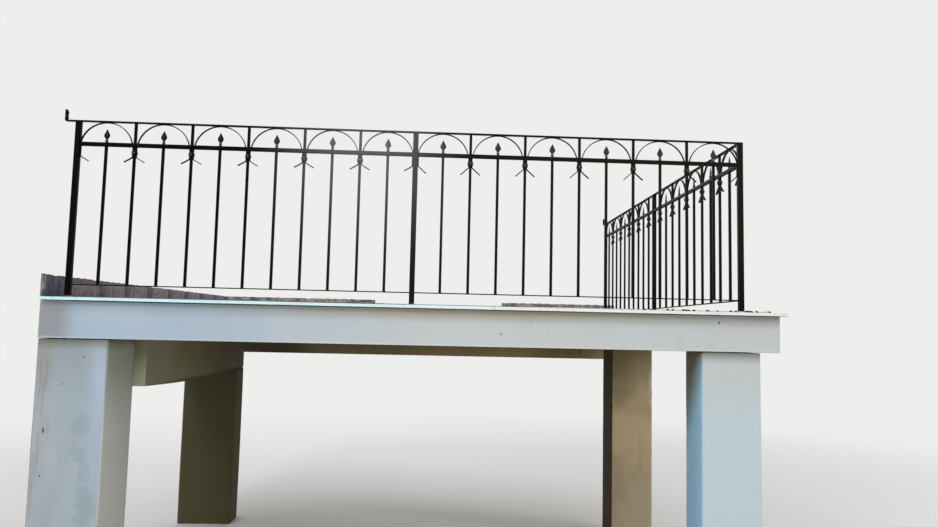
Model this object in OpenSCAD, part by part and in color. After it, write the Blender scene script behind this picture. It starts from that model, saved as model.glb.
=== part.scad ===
// Iron balcony: a plastered masonry deck on four piers, guarded on two sides by a railing of
// interlaced strip arches, cast collars and spear points. The front and right side are open;
// the left end and the rear are cut off where the house walls stand.
// Millimetres, +Z up, X to the right along the front, +Y into the house.
// The origin is the middle of the overall box, at the foot of the piers.

/* [Railing layout] */
// Distance between two tall bars, one arch bay
bay = 318; // [260:1:360]
// Arch bays along the front
front_bays = 12; // [12]
// Arch bays along the side
side_bays = 11; // [11]
// Height of the top rail over the deck
rail_h = 1000; // [950:10:1100]
// Clear distance from an end post's centre line to the wall it is tied to
wall_gap = 74; // [60:1:120]

/* [Railing sections] */
// Width of the square posts
post_w = 30; // [25:1:40]
// Wall thickness of the square posts
post_t = 3; // [2:0.5:4]
// Width of the square bars
bar_w = 15; // [12:1:16]
// Width of the flat top rail
top_rail_w = 30; // [25:1:40]
// Thickness of the flat top rail
top_rail_t = 6; // [5:1:8]
// Side of the square middle rail
mid_rail_w = 22; // [18:1:25]
// Drop from the top of the railing to the middle rail's centre line
mid_rail_drop = 134; // [120:1:150]
// Width of the flat bottom rail
low_rail_w = 30; // [25:1:40]
// Thickness of the flat bottom rail
low_rail_t = 5; // [4:1:8]
// Height of the bottom rail's centre line over the deck
low_rail_z = 68; // [50:1:100]

/* [Arches and tails] */
// Width of the strip that the arches are bent from
strip_w = 14; // [10:1:16]
// Thickness of that strip
strip_t = 5; // [4:0.5:6]
// Distance from a tall bar's centre line to an arch's foot on the middle rail
arch_foot = 16; // [13:0.5:20]
// Length of the strip that runs down beside a bar, under the middle rail
tail_run = 56; // [50:1:80]
// Sideways reach of a tail from the bar's face
tail_out = 46; // [30:1:50]
// Drop of a tail over that reach, in the front left panel
tail_drop_left = 27; // [20:1:40]
// Drop of a tail over that reach, in the other panels
tail_drop = 41; // [30:1:50]

/* [Collars] */
// Radius of a cast collar's ball
collar_r = 17; // [16:0.5:20]
// Height of a collar
collar_h = 34; // [30:1:34]
// Radius of the three beads round a collar
bead_r = 2; // [1:0.5:3]
// Distance from the middle rail's underside to the collar's centre
collar_drop = 33; // [25:1:40]

/* [Spear points] */
// Widest part of a spear's leaf
leaf_w = 35; // [30:1:42]
// Thickness of the leaf over its ridge
leaf_t = 12; // [8:1:14]
// Height of the leaf
leaf_h = 57; // [50:1:60]
// Radius of the socket under the leaf
socket_r = 9; // [8:0.5:11]
// Height of that socket
socket_h = 22; // [16:1:24]

/* [Masonry] */
// Height of the deck over the ground
deck_h = 1810; // [1500:10:2200]
// Depth of the front and right edge beams, from the deck's surface
edge_beam_h = 228; // [200:1:260]
// Distance from the railing's centre line to the outer masonry face
edge_over = 160; // [120:1:200]
// Thickness of the deck slab between the beams
slab_t = 142; // [120:1:160]
// Thickness of the paving tiles with their bed
tile_t = 8; // [8:1:15]
// Distance that the front piers' faces stand behind the front beam's
pier_set_back = 6; // [0:1:15]
// Depth of the front beam and the front right pier, front to back
front_pier_d = 276; // [240:1:320]
// Width of both right piers
right_pier_w = 342; // [300:1:400]
// Inset of the right piers from the deck's right end
right_pier_in = 110; // [80:1:140]
// Distance from the front face to the rear right pier
rear_pier_y = 2130; // [1900:10:2300]
// Depth of the rear right pier
rear_pier_d = 330; // [260:1:400]
// Width of the front left pier, from the wall
left_pier_w = 375; // [320:1:420]
// Depth of the front left pier
left_pier_d = 392; // [340:1:440]
// Distance from the front face to the rear left pier
left_rear_y = 2530; // [2300:10:2700]
// Depth of the rear left pier
left_rear_d = 260; // [220:1:320]
// Width of the left beam and the rear left pier, from the wall
left_beam_w = 440; // [400:1:480]
// Depth of the left beam at its ends, from the deck's surface
left_beam_h = 505; // [460:1:540]
// Extra depth that the left beam's hand-plastered soffit hangs at mid-span
left_beam_sag = 22; // [0:1:40]
// Depth of the rear beam from the deck's surface
rear_beam_h = 395; // [340:1:430]
// Thickness of the rear beam
rear_beam_w = 250; // [200:1:300]
// Height of the stone skirting at the deck's front end
skirting_front_h = 119; // [80:1:160]
// Height of the stone skirting at the rear wall, up to which the left one rises
skirting_h = 160; // [100:1:180]
// Thickness of the skirting
skirting_t = 15; // [10:1:25]
// Width of the doorway left free in the rear skirting
door_w = 1300; // [1100:10:1400]
// Distance from the left end to that doorway
door_x = 1520; // [1300:10:1700]

/* [Flashing] */
// Distance that the drip edge stands out from the masonry
drip_out = 30; // [20:1:40]
// Height of the drip edge
drip_h = 18; // [14:1:26]
// Width of the flange that lies on the slab
flange_w = 50; // [40:1:80]
// Thickness of the sheet
sheet_t = 2; // [1:0.5:3]
// Distance that the lip at the foot of the drip edge is kicked out
lip_out = 3; // [2:0.5:4]
// Height of that lip
lip_h = 6; // [4:1:8]

/* [Wall plates] */
// Width of an anchor plate
plate_w = 32; // [30:1:50]
// Height of an anchor plate, from the underside of the top rail
plate_h = 67; // [60:1:80]
// Thickness of an anchor plate
plate_t = 6; // [5:1:8]
// Diameter of the two bolt holes in a plate
bolt_d = 9; // [7:0.5:11]
// Distance between the two bolt holes
bolt_pitch = 30; // [26:1:34]

/* [Hidden] */
$fn = 48;
eps = 1;

// Railing stations are half a bay apart; tall bars are even stations, spears odd ones.
half = bay / 2;
front_end = 2 * front_bays;
side_end = 2 * side_bays;
front_mid = front_end / 2;
side_mid = side_bays;

// Lengths of the deck, from wall to outer masonry face
deck_x = wall_gap + front_bays * bay + edge_over;
deck_y = wall_gap + side_bays * bay + edge_over;

// The overall box runs from the left wall to the right drip edge, and from the front drip edge
// to the rear wall. These put the deck's left front corner in the frame.
x0 = -(deck_x + drip_out + lip_out) / 2;
y0 = -(deck_y - drip_out - lip_out) / 2;

// Railing heights over the deck
mid_rail_z = rail_h - mid_rail_drop;
mid_top = mid_rail_z + mid_rail_w / 2;
mid_under = mid_rail_z - mid_rail_w / 2;
bar_top = rail_h - top_rail_t;
low_rail_top = low_rail_z + low_rail_t / 2;

// An arch is a chord of a circle: it stands on the middle rail and touches the top rail
arch_rise = bar_top - strip_t / 2 - mid_top;
arch_reach = half - arch_foot;
arch_r = (arch_rise * arch_rise + arch_reach * arch_reach) / (2 * arch_rise);
arch_z = bar_top - strip_t / 2 - arch_r;

iron = [0.10, 0.11, 0.12];
plaster = [0.76, 0.79, 0.80];
shade_plaster = [0.72, 0.66, 0.52];
tile_colour = [0.45, 0.36, 0.30];
stone_colour = [0.36, 0.30, 0.29];
sheet_colour = [0.82, 0.88, 0.86];

// Masonry, measured from the deck's left front corner
module masonry(x, y, top, size_x, size_y, foot) {
    translate([x0 + x, y0 + y, foot]) cube([size_x, size_y, top - foot]);
}

module front_left_pier() {
    color(plaster)
        masonry(0, pier_set_back, deck_h - edge_beam_h, left_pier_w,
            left_pier_d - pier_set_back, 0);
}

module front_right_pier() {
    color(plaster)
        masonry(deck_x - right_pier_in - right_pier_w, pier_set_back, deck_h - edge_beam_h,
            right_pier_w, front_pier_d - pier_set_back, 0);
}

module rear_right_pier() {
    color(shade_plaster)
        masonry(deck_x - right_pier_in - right_pier_w, rear_pier_y, deck_h - edge_beam_h,
            right_pier_w, rear_pier_d, 0);
}

module rear_left_pier() {
    color(shade_plaster)
        masonry(0, left_rear_y, deck_h - left_beam_h, left_beam_w, left_rear_d, 0);
}

module front_beam() {
    color(plaster)
        masonry(0, 0, deck_h - tile_t, deck_x, front_pier_d, deck_h - edge_beam_h);
}

module right_beam() {
    color(plaster)
        masonry(deck_x - right_pier_in - right_pier_w, front_pier_d, deck_h - tile_t,
            right_pier_in + right_pier_w, deck_y - front_pier_d, deck_h - edge_beam_h);
}

// Side view of the left beam's soffit: level over the rear pier, sagging between the piers
function soffit(y) =
    let (span = left_rear_y - left_pier_d, at = (y - left_pier_d) / span)
    deck_h - left_beam_h - left_beam_sag * max(0, sin(180 * min(at, 1)));

module left_beam() {
    steps = 14;
    top = deck_h - tile_t - slab_t;
    ends = left_rear_y + left_rear_d;
    profile = concat(
        [[ends, top], [left_pier_d, top]],
        [for (i = [0:steps])
            let (y = left_pier_d + (left_rear_y - left_pier_d) * i / steps) [y, soffit(y)]],
        [[ends, deck_h - left_beam_h]]
    );
    color(shade_plaster)
        translate([x0, y0, 0])
            rotate([90, 0, 90])
                linear_extrude(left_beam_w) polygon(profile);
}

// The rear beam carries the slab and passes under the right beam, up to the piers' outer side
module rear_beam() {
    color(shade_plaster) {
        masonry(0, deck_y - rear_beam_w, deck_h - tile_t - slab_t,
            deck_x - right_pier_in - right_pier_w, rear_beam_w, deck_h - rear_beam_h);
        masonry(0, deck_y - rear_beam_w, deck_h - edge_beam_h,
            deck_x - right_pier_in, rear_beam_w, deck_h - rear_beam_h);
    }
}

module deck_slab() {
    color(shade_plaster)
        masonry(0, front_pier_d, deck_h - tile_t, deck_x - right_pier_in - right_pier_w,
            deck_y - front_pier_d, deck_h - tile_t - slab_t);
}

module deck_tiles() {
    color(tile_colour)
        masonry(0, flange_w, deck_h, deck_x - flange_w, deck_y - flange_w, deck_h - tile_t);
}

// Side view: it stands on the flashing's flange and on the tiles, and rises to the rear
module left_skirting() {
    flange_top = deck_h - tile_t + sheet_t;
    color(stone_colour)
        translate([x0, y0, 0])
            rotate([90, 0, 90])
                linear_extrude(skirting_t) polygon([
                    [0, flange_top], [flange_w, flange_top], [flange_w, deck_h],
                    [deck_y, deck_h], [deck_y, deck_h + skirting_h],
                    [0, deck_h + skirting_front_h]
                ]);
}

module rear_skirting() {
    color(stone_colour) {
        masonry(skirting_t, deck_y - skirting_t, deck_h + skirting_h,
            door_x - skirting_t, skirting_t, deck_h);
        masonry(door_x + door_w, deck_y - skirting_t, deck_h + skirting_h,
            deck_x - flange_w - door_x - door_w, skirting_t, deck_h);
    }
}

// Section of the flashing: flange on the slab, drip edge, and a lip kicked out at its foot.
// Measured outward from the masonry face and upward from the slab's top.
module drip_section() {
    foot = sheet_t - drip_h;
    polygon([
        [-flange_w, 0], [-flange_w, sheet_t], [drip_out, sheet_t],
        [drip_out, foot + lip_h], [drip_out + lip_out, foot],
        [drip_out + lip_out - sheet_t, foot], [drip_out - sheet_t, foot + lip_h],
        [drip_out - sheet_t, 0]
    ]);
}

// Plan of the part of the deck's margin that the front flashing covers, mitred at the corner
module front_margin() {
    far = drip_out + lip_out;
    polygon([
        [0, -far], [deck_x + far, -far], [deck_x - flange_w, flange_w], [0, flange_w]
    ]);
}

// The same for the right flashing
module right_margin() {
    far = drip_out + lip_out;
    polygon([
        [deck_x + far, -far], [deck_x + far, deck_y], [deck_x - flange_w, deck_y],
        [deck_x - flange_w, flange_w]
    ]);
}

module front_flashing() {
    color(sheet_colour)
        translate([x0, y0, deck_h - tile_t])
            intersection() {
                rotate([90, 0, 90]) mirror([1, 0, 0])
                    linear_extrude(deck_x + 2 * drip_out) drip_section();
                translate([0, 0, -2 * drip_h]) linear_extrude(4 * drip_h) front_margin();
            }
}

module right_flashing() {
    color(sheet_colour)
        translate([x0, y0, deck_h - tile_t])
            intersection() {
                translate([deck_x, deck_y, 0]) rotate([90, 0, 0])
                    linear_extrude(deck_y + 2 * drip_out) drip_section();
                translate([0, 0, -2 * drip_h]) linear_extrude(4 * drip_h) right_margin();
            }
}

// The two railing runs: stations go right along the front, then back along the side
module front_run() {
    translate([x0 + wall_gap, y0 + edge_over, deck_h]) children();
}

module side_run() {
    translate([x0 + deck_x - edge_over, y0 + edge_over, deck_h]) rotate([0, 0, 90]) children();
}

module post(k) {
    color(iron)
        translate([k * half, 0, bar_top / 2])
            difference() {
                cube([post_w, post_w, bar_top], center = true);
                cube([post_w - 2 * post_t, post_w - 2 * post_t, bar_top + eps], center = true);
            }
}

module left_post() { front_run() post(0); }
module front_middle_post() { front_run() post(front_mid); }
module corner_post() { front_run() post(front_end); }
module side_middle_post() { side_run() post(side_mid); }
module rear_post() { side_run() post(side_end); }

// Flat top rails, mitred over the corner post
module front_top_rail() {
    start = plate_t - wall_gap;
    end = front_end * half;
    w = top_rail_w / 2;
    color(iron)
        front_run() translate([0, 0, bar_top])
            linear_extrude(top_rail_t)
                polygon([[start, -w], [end + w, -w], [end - w, w], [start, w]]);
}

module side_top_rail() {
    end = side_end * half + wall_gap - plate_t;
    w = top_rail_w / 2;
    color(iron)
        side_run() translate([0, 0, bar_top])
            linear_extrude(top_rail_t)
                polygon([[-w, -w], [end, -w], [end, w], [w, w]]);
}

// Upright plate that ties the end of a top rail to the wall, with two bolt holes and round corners
module wall_plate() {
    r = 8;
    color(iron)
        translate([-wall_gap, 0, bar_top])
            rotate([90, 0, 90])
                difference() {
                    linear_extrude(plate_t) {
                        translate([-plate_w / 2, 0]) square([plate_w, plate_h - r]);
                        translate([-plate_w / 2 + r, 0]) square([plate_w - 2 * r, plate_h]);
                        for (side = [-1, 1])
                            translate([side * (plate_w / 2 - r), plate_h - r]) circle(r);
                    }
                    for (i = [0, 1])
                        translate([0, plate_h - 18 - i * bolt_pitch, -eps])
                            cylinder(d = bolt_d, h = plate_t + 2 * eps);
                }
}

module left_wall_plate() { front_run() wall_plate(); }
module rear_wall_plate() {
    side_run() translate([side_end * half, 0, 0]) rotate([0, 0, 180]) wall_plate();
}

function tall_stations(a, b) = [for (k = [a + 1:b - 1]) if (k % 2 == 0) k];
function spear_stations(a, b) = [for (k = [a + 1:b - 1]) if (k % 2 == 1) k];

// Square bars between posts a and b, standing on the flat bottom rail
module bars(a, b) {
    color(iron) {
        translate([a * half + post_w / 2, -low_rail_w / 2, low_rail_z - low_rail_t / 2])
            cube([(b - a) * half - post_w, low_rail_w, low_rail_t]);
        for (k = tall_stations(a, b))
            square_bar(k, bar_top);
        for (k = spear_stations(a, b))
            square_bar(k, mid_top);
    }
}

module square_bar(k, top) {
    translate([k * half - bar_w / 2, -bar_w / 2, low_rail_top - eps])
        cube([bar_w, bar_w, top - low_rail_top + eps]);
}

// Middle rail, punched where the bars go through
module mid_rail(a, b) {
    color(iron)
        difference() {
            translate([a * half + post_w / 2, -mid_rail_w / 2, mid_under])
                cube([(b - a) * half - post_w, mid_rail_w, mid_rail_w]);
            for (k = [a + 1:b - 1])
                translate([k * half - bar_w / 2, -bar_w / 2, mid_under - eps])
                    cube([bar_w, bar_w, mid_rail_w + 2 * eps]);
        }
}

// One arch over the spear at station k, cut off on the middle rail and at a post's face
module arch(k, left, right) {
    outer = arch_r + strip_t / 2;
    inner = arch_r - strip_t / 2;
    intersection() {
        translate([k * half, 0, arch_z])
            rotate([90, 0, 0])
                difference() {
                    cylinder(r = outer, h = strip_w, center = true, $fn = 120);
                    cylinder(r = inner, h = strip_w + 2 * eps, center = true, $fn = 120);
                }
        translate([left, -strip_w, mid_top]) cube([right - left, 2 * strip_w, rail_h]);
    }
}

// Strip below the middle rail: it runs down a bar's side at distance x, then flares out
module tail(x, drop) {
    run = mid_under - tail_run;
    slope = atan2(drop, tail_out);
    lean = strip_t * tan((90 - slope) / 2);
    rotate([90, 0, 0])
        linear_extrude(strip_w, center = true)
            polygon([
                [x, mid_under], [x, run], [x + tail_out, run - drop],
                [x + tail_out + strip_t * sin(slope), run - drop + strip_t * cos(slope)],
                [x + strip_t, run + lean], [x + strip_t, mid_under]
            ]);
}

module arches(a, b, drop) {
    left_face = a * half + post_w / 2;
    right_face = b * half - post_w / 2;
    color(iron) {
        for (k = [a:b])
            if (k % 2 == 1)
                arch(k, max(left_face, (k - 1) * half), min(right_face, (k + 1) * half));
        for (k = tall_stations(a, b))
            for (side = [0, 1])
                translate([k * half, 0, 0]) mirror([side, 0, 0]) tail(bar_w / 2, drop);
        if (a % 2 == 0)
            translate([a * half, 0, 0]) tail(post_w / 2, drop);
        if (b % 2 == 0)
            translate([b * half, 0, 0]) mirror([1, 0, 0]) tail(post_w / 2, drop);
    }
}

// Cast collar: a beaded ball pierced for the bar and the two strips it holds together
module collar() {
    translate([0, 0, mid_under - collar_drop])
        difference() {
            rotate_extrude() {
                intersection() {
                    circle(collar_r);
                    translate([0, -collar_h / 2]) square([collar_r, collar_h]);
                }
                for (i = [-1:1])
                    let (z = i * collar_h * 0.28)
                        translate([sqrt(collar_r * collar_r - z * z), z]) circle(bead_r);
            }
            cube([bar_w, bar_w, collar_h + 2 * eps], center = true);
            cube([bar_w + 2 * strip_t, strip_w, collar_h + 2 * eps], center = true);
        }
}

module collars(a, b) {
    color(iron)
        for (k = tall_stations(a, b))
            translate([k * half, 0, 0]) collar();
}

// Half width of the leaf at height t, from 0 at its root to 1 at its tip: it swells from the
// neck to its widest at leaf_low, then runs nearly straight to the point
leaf_low = 0.34;
function leaf_half(t) =
    leaf_w / 2 * (t < leaf_low
        ? 0.42 + 0.58 * sin(90 * t / leaf_low)
        : 1 - pow((t - leaf_low) / (1 - leaf_low), 1.2));

// Half thickness of the leaf over its ridge at height t
function leaf_ridge(t) = leaf_t / 2 * (1 - 0.85 * pow(t, 1.6));

// Leaf of a spear: rings of eight points lofted from root to tip, sharp at both edges
module leaf() {
    rings = 9;
    sides = 8;
    points = concat(
        [for (i = [0:rings - 1])
            let (t = i / rings)
            for (j = [0:sides - 1])
                let (a = 360 * j / sides, c = cos(a), s = sin(a))
                [leaf_half(t) * sign(c) * pow(abs(c), 1.6) + 0.01 * c,
                    leaf_ridge(t) * sign(s) * pow(abs(s), 1.3), leaf_h * t]],
        [[0, 0, leaf_h]]
    );
    tip = rings * sides;
    faces = concat(
        [[for (j = [0:sides - 1]) j]],
        [for (i = [0:rings - 2]) for (j = [0:sides - 1])
            [i * sides + j, (i + 1) * sides + j, (i + 1) * sides + (j + 1) % sides]],
        [for (i = [0:rings - 2]) for (j = [0:sides - 1])
            [i * sides + j, (i + 1) * sides + (j + 1) % sides, i * sides + (j + 1) % sides]],
        [for (j = [0:sides - 1])
            [(rings - 1) * sides + j, tip, (rings - 1) * sides + (j + 1) % sides]]
    );
    polyhedron(points, faces);
}

// Spear point seated on its bar: socket with a bead, then the leaf
module spear() {
    translate([0, 0, mid_top]) {
        cylinder(r = socket_r, h = socket_h - 4);
        translate([0, 0, socket_h - 4]) cylinder(r1 = socket_r, r2 = socket_r * 0.7, h = 4);
        translate([0, 0, socket_h]) leaf();
    }
}

module spears(a, b) {
    color(iron)
        for (k = spear_stations(a, b))
            translate([k * half, 0, 0]) spear();
}

module front_left_bars() { front_run() bars(0, front_mid); }
module front_left_mid_rail() { front_run() mid_rail(0, front_mid); }
module front_left_arches() { front_run() arches(0, front_mid, tail_drop_left); }
module front_left_collars() { front_run() collars(0, front_mid); }
module front_left_spears() { front_run() spears(0, front_mid); }
module front_right_bars() { front_run() bars(front_mid, front_end); }
module front_right_mid_rail() { front_run() mid_rail(front_mid, front_end); }
module front_right_arches() { front_run() arches(front_mid, front_end, tail_drop); }
module front_right_collars() { front_run() collars(front_mid, front_end); }
module front_right_spears() { front_run() spears(front_mid, front_end); }
module side_front_bars() { side_run() bars(0, side_mid); }
module side_front_mid_rail() { side_run() mid_rail(0, side_mid); }
module side_front_arches() { side_run() arches(0, side_mid, tail_drop); }
module side_front_collars() { side_run() collars(0, side_mid); }
module side_front_spears() { side_run() spears(0, side_mid); }
module side_rear_bars() { side_run() bars(side_mid, side_end); }
module side_rear_mid_rail() { side_run() mid_rail(side_mid, side_end); }
module side_rear_arches() { side_run() arches(side_mid, side_end, tail_drop); }
module side_rear_collars() { side_run() collars(side_mid, side_end); }
module side_rear_spears() { side_run() spears(side_mid, side_end); }

front_left_pier();
front_right_pier();
rear_left_pier();
rear_right_pier();
front_beam();
right_beam();
left_beam();
rear_beam();
deck_slab();
deck_tiles();
left_skirting();
rear_skirting();
front_flashing();
right_flashing();
left_post();
front_middle_post();
corner_post();
side_middle_post();
rear_post();
front_top_rail();
side_top_rail();
left_wall_plate();
rear_wall_plate();
front_left_bars();
front_left_mid_rail();
front_left_arches();
front_left_collars();
front_left_spears();
front_right_bars();
front_right_mid_rail();
front_right_arches();
front_right_collars();
front_right_spears();
side_front_bars();
side_front_mid_rail();
side_front_arches();
side_front_collars();
side_front_spears();
side_rear_bars();
side_rear_mid_rail();
side_rear_arches();
side_rear_collars();
side_rear_spears();
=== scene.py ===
import math

import bpy
import numpy as np
from mathutils import Matrix, Vector


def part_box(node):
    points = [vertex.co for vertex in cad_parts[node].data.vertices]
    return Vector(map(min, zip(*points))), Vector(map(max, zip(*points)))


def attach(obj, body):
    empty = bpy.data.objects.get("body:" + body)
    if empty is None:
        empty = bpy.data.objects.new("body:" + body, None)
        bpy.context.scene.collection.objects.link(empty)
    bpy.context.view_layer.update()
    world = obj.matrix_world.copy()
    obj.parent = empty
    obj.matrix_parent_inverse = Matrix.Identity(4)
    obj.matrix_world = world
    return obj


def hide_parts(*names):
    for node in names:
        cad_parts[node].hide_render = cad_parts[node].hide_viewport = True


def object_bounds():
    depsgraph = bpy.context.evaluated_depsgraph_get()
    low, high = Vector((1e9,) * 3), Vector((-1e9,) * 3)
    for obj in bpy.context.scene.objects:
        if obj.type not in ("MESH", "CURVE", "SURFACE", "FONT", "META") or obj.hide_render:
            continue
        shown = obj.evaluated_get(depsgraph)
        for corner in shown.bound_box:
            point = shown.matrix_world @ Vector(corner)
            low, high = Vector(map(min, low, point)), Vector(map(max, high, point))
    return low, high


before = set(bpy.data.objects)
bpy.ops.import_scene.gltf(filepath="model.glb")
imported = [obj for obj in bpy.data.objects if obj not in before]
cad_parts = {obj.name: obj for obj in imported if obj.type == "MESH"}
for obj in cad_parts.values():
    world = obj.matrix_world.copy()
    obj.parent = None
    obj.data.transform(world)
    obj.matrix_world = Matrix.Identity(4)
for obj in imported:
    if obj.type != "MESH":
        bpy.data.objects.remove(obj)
cad_low, cad_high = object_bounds()


# Camera: it stands where the photograph was taken, below the deck's level and left of the
# corner post, looks a little to the right and up, and leans slightly. It is placed from the
# railing's corner post and the top of the paving.
def middle(node):
    """Centre of a CAD node's box."""
    low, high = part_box(node)
    return (low + high) / 2


corner = middle("corner_post")
deck_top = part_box("deck_tiles")[1].z
STANDPOINT = (-1.7942, -4.3944, -0.1417)
YAW, PITCH, ROLL = 0.0475, 0.0872, 0.0218
FOCAL_MM, SENSOR_MM = 29.59, 36.0


def add(name, data):
    """A new object of the scene that shows the data."""
    made = bpy.data.objects.new(name, data)
    bpy.context.scene.collection.objects.link(made)
    return made


lens = bpy.data.cameras.new("camera")
lens.lens, lens.sensor_width = FOCAL_MM, SENSOR_MM
camera = add("camera", lens)
standing = Matrix.Translation(Vector((corner.x, corner.y, deck_top)) + Vector(STANDPOINT))
aimed = Matrix.Rotation(-YAW, 4, "Z") @ Matrix.Rotation(math.pi / 2 + PITCH, 4, "X")
camera.matrix_world = standing @ aimed @ Matrix.Rotation(ROLL, 4, "Z")
bpy.context.scene.camera = camera
bpy.context.scene.view_settings.view_transform = "Standard"


# Studio: a wide pale floor that takes the balcony's shadow and fades into a white surround,
# under an even sky and large soft lamps that light every side at a plain level.
def tone(red, green, blue):
    """Colour for a socket: each sRGB byte turned into linear light, with full opacity."""
    share = np.array([red, green, blue]) / 255
    light = np.where(share <= 0.04045, share / 12.92, ((share + 0.055) / 1.055) ** 2.4)
    return (*light.tolist(), 1.0)


class Signal:
    """A shader socket in an expression: each operator adds the Math node that works it out,
    and a | b is the larger of the two."""

    def __init__(self, finish, socket):
        self.finish, self.socket = finish, socket

    def __add__(self, other):
        return self.finish.maths("ADD", self, other)

    def __sub__(self, other):
        return self.finish.maths("SUBTRACT", self, other)

    def __rsub__(self, other):
        return self.finish.maths("SUBTRACT", other, self)

    def __mul__(self, other):
        return self.finish.maths("MULTIPLY", self, other)

    def __or__(self, other):
        return self.finish.maths("MAXIMUM", self, other)

    __radd__, __rmul__ = __add__, __mul__

    def step(self, low, high):
        """0 at low and 1 at high, with a smooth change between; low may be above high."""
        sockets = {"Value": self, "From Min": low, "From Max": high}
        return self.finish.node("MapRange", sockets, interpolation_type="SMOOTHSTEP")

    def by(self, plane, side=1, reach=0.011):
        """1 on the masonry face at a plane, whose coat waves by up to 6 mm, and 0 from reach
        metres inside it: above a low face, or below a high one for side -1."""
        return self.step(plane + side * reach, plane + side * 0.006)


class Finish:
    """The node tree of a material or of the world, built one node at a time. It keeps the
    colour and the relief that the surface has so far."""

    def __init__(self, owner):
        owner.use_nodes = True
        self.owner, self.tree = owner, owner.node_tree
        self.tree.nodes.clear()
        self.place = self.node("TexCoord", out="Object")
        self.axes = self.split(self.place)
        self.colour = self.relief = None

    def node(self, kind, sockets=None, out=0, **settings):
        """Adds a node: its settings first, then the values or links of its sockets."""
        made = self.tree.nodes.new("ShaderNode" + kind)
        for name, value in settings.items():
            setattr(made, name, value)
        for name, value in (sockets or {}).items():
            if isinstance(value, Signal):
                self.tree.links.new(value.socket, made.inputs[name])
            else:
                made.inputs[name].default_value = value
        return Signal(self, made.outputs[out]) if made.outputs else None

    def maths(self, operation, *values):
        """A Math node on one or more values."""
        return self.node("Math", dict(enumerate(values)), operation=operation)

    def vector(self, operation, *values, out=0):
        """A Vector Math node on one or more values."""
        return self.node("VectorMath", dict(enumerate(values)), out, operation=operation)

    def split(self, vector):
        """The three components of a vector."""
        parts = self.node("SeparateXYZ", {0: vector}).socket.node.outputs
        return [Signal(self, part) for part in parts]

    def noise(self, scale, detail, stretch=(1, 1, 1)):
        """Cloudy value from 0 to 1, with features 1 / (scale * stretch) metres across."""
        placed = self.node("Mapping", {"Vector": self.place, "Scale": stretch})
        return self.node("TexNoise", {"Vector": placed, "Scale": scale, "Detail": detail})

    def near(self, spots, stretch=(1, 1, 1), ragged=0):
        """1 at each of the points (x, y, z, reach), falling to 0 at reach metres from it, where
        each axis counts as much as its stretch and a ragged value is added to the distance."""
        nearest = None
        for *spot, reach in spots:
            away = self.vector("SUBTRACT", self.place, spot)
            gap = self.vector("LENGTH", self.vector("MULTIPLY", away, stretch), out=1)
            found = (gap + ragged).step(reach, reach * 0.5)
            nearest = nearest | found if nearest else found
        return nearest

    def mark(self):
        """The number that each point of the mesh carries for its finish."""
        return self.node("Attribute", out="Fac", attribute_name="mark")

    def upward(self):
        """1 where the surface faces up, 0 where it is upright, and less than 0 below."""
        return self.split(self.node("NewGeometry", out="Normal"))[2]

    def mix(self, start, end, amount):
        """Colour that goes from start to end as amount goes from 0 to 1. Either may be bytes."""
        start, end = (tone(*c) if isinstance(c, tuple) else c for c in (start, end))
        return self.node("Mix", {0: amount, 6: start, 7: end}, 2, data_type="RGBA")

    def lay(self, over, amount):
        """Lays a colour over the one so far."""
        self.colour = self.mix(self.colour, over, amount)

    def close(self, roughness, depth, level=0.5, sheen=255):
        """Feeds the shader and returns the material: its relief is depth metres deep, and its
        gloss has the given level and grey byte."""
        bump = self.node("Bump", {"Height": self.relief, "Distance": depth})
        sockets = {"Base Color": self.colour, "Roughness": roughness, "Normal": bump}
        sockets |= {"Specular IOR Level": level, "Specular Tint": tone(sheen, sheen, sheen)}
        self.node("OutputMaterial", {"Surface": self.node("BsdfPrincipled", sockets)})
        return self.owner


def material(name):
    """A new empty material."""
    return Finish(bpy.data.materials.new(name))


def seen_directly(finish):
    """1 for rays that show the surround itself: from the camera, in gloss and through glass."""
    rays = ("Is Camera Ray", "Is Glossy Ray", "Is Transmission Ray")
    camera_ray, gloss, glass = (finish.node("LightPath", out=ray) for ray in rays)
    return camera_ray | (gloss | glass)


SURROUND, SKY_LIGHT, SKY_STRENGTH = tone(238, 238, 237), tone(240, 241, 243), 0.75
FLOOR_SIZE, FLOOR_GAP, FADE_FROM, FADE_TO = 60.0, 0.0005, 4.5, 11.0
world = bpy.data.worlds.new("surround")
bpy.context.scene.world = world
sky = Finish(world)
shown = sky.node("Background", {"Color": SURROUND, "Strength": 1.0})
lit = sky.node("Background", {"Color": SKY_LIGHT, "Strength": SKY_STRENGTH})
either = sky.node("MixShader", {0: seen_directly(sky), 1: lit, 2: shown})
sky.node("OutputWorld", {"Surface": either})

floor = material("studio_floor")
matt = floor.node("BsdfDiffuse", {"Color": tone(240, 240, 238)})
glow = floor.node("Emission", {"Color": SURROUND, "Strength": 1.0})
from_centre = floor.vector("LENGTH", floor.place, out=1)
far = from_centre.step(FADE_FROM, FADE_TO) * seen_directly(floor)
topside = floor.node("MixShader", {0: far, 1: matt, 2: glow})
clear = floor.node("BsdfTransparent")
below = floor.node("NewGeometry", out="Backfacing")
floor.node("OutputMaterial", {"Surface": floor.node("MixShader", {0: below, 1: topside, 2: clear})})
floor_mesh = bpy.data.meshes.new("studio_floor")
side, floor_z = FLOOR_SIZE / 2, cad_low.z - FLOOR_GAP
corners = [(-side, -side), (side, -side), (side, side), (-side, side)]
floor_mesh.from_pydata([(*spot, floor_z) for spot in corners], [], [(0, 1, 2, 3)])
floor_mesh.materials.append(floor.owner)
studio_floor = add("studio_floor", floor_mesh)

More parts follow.
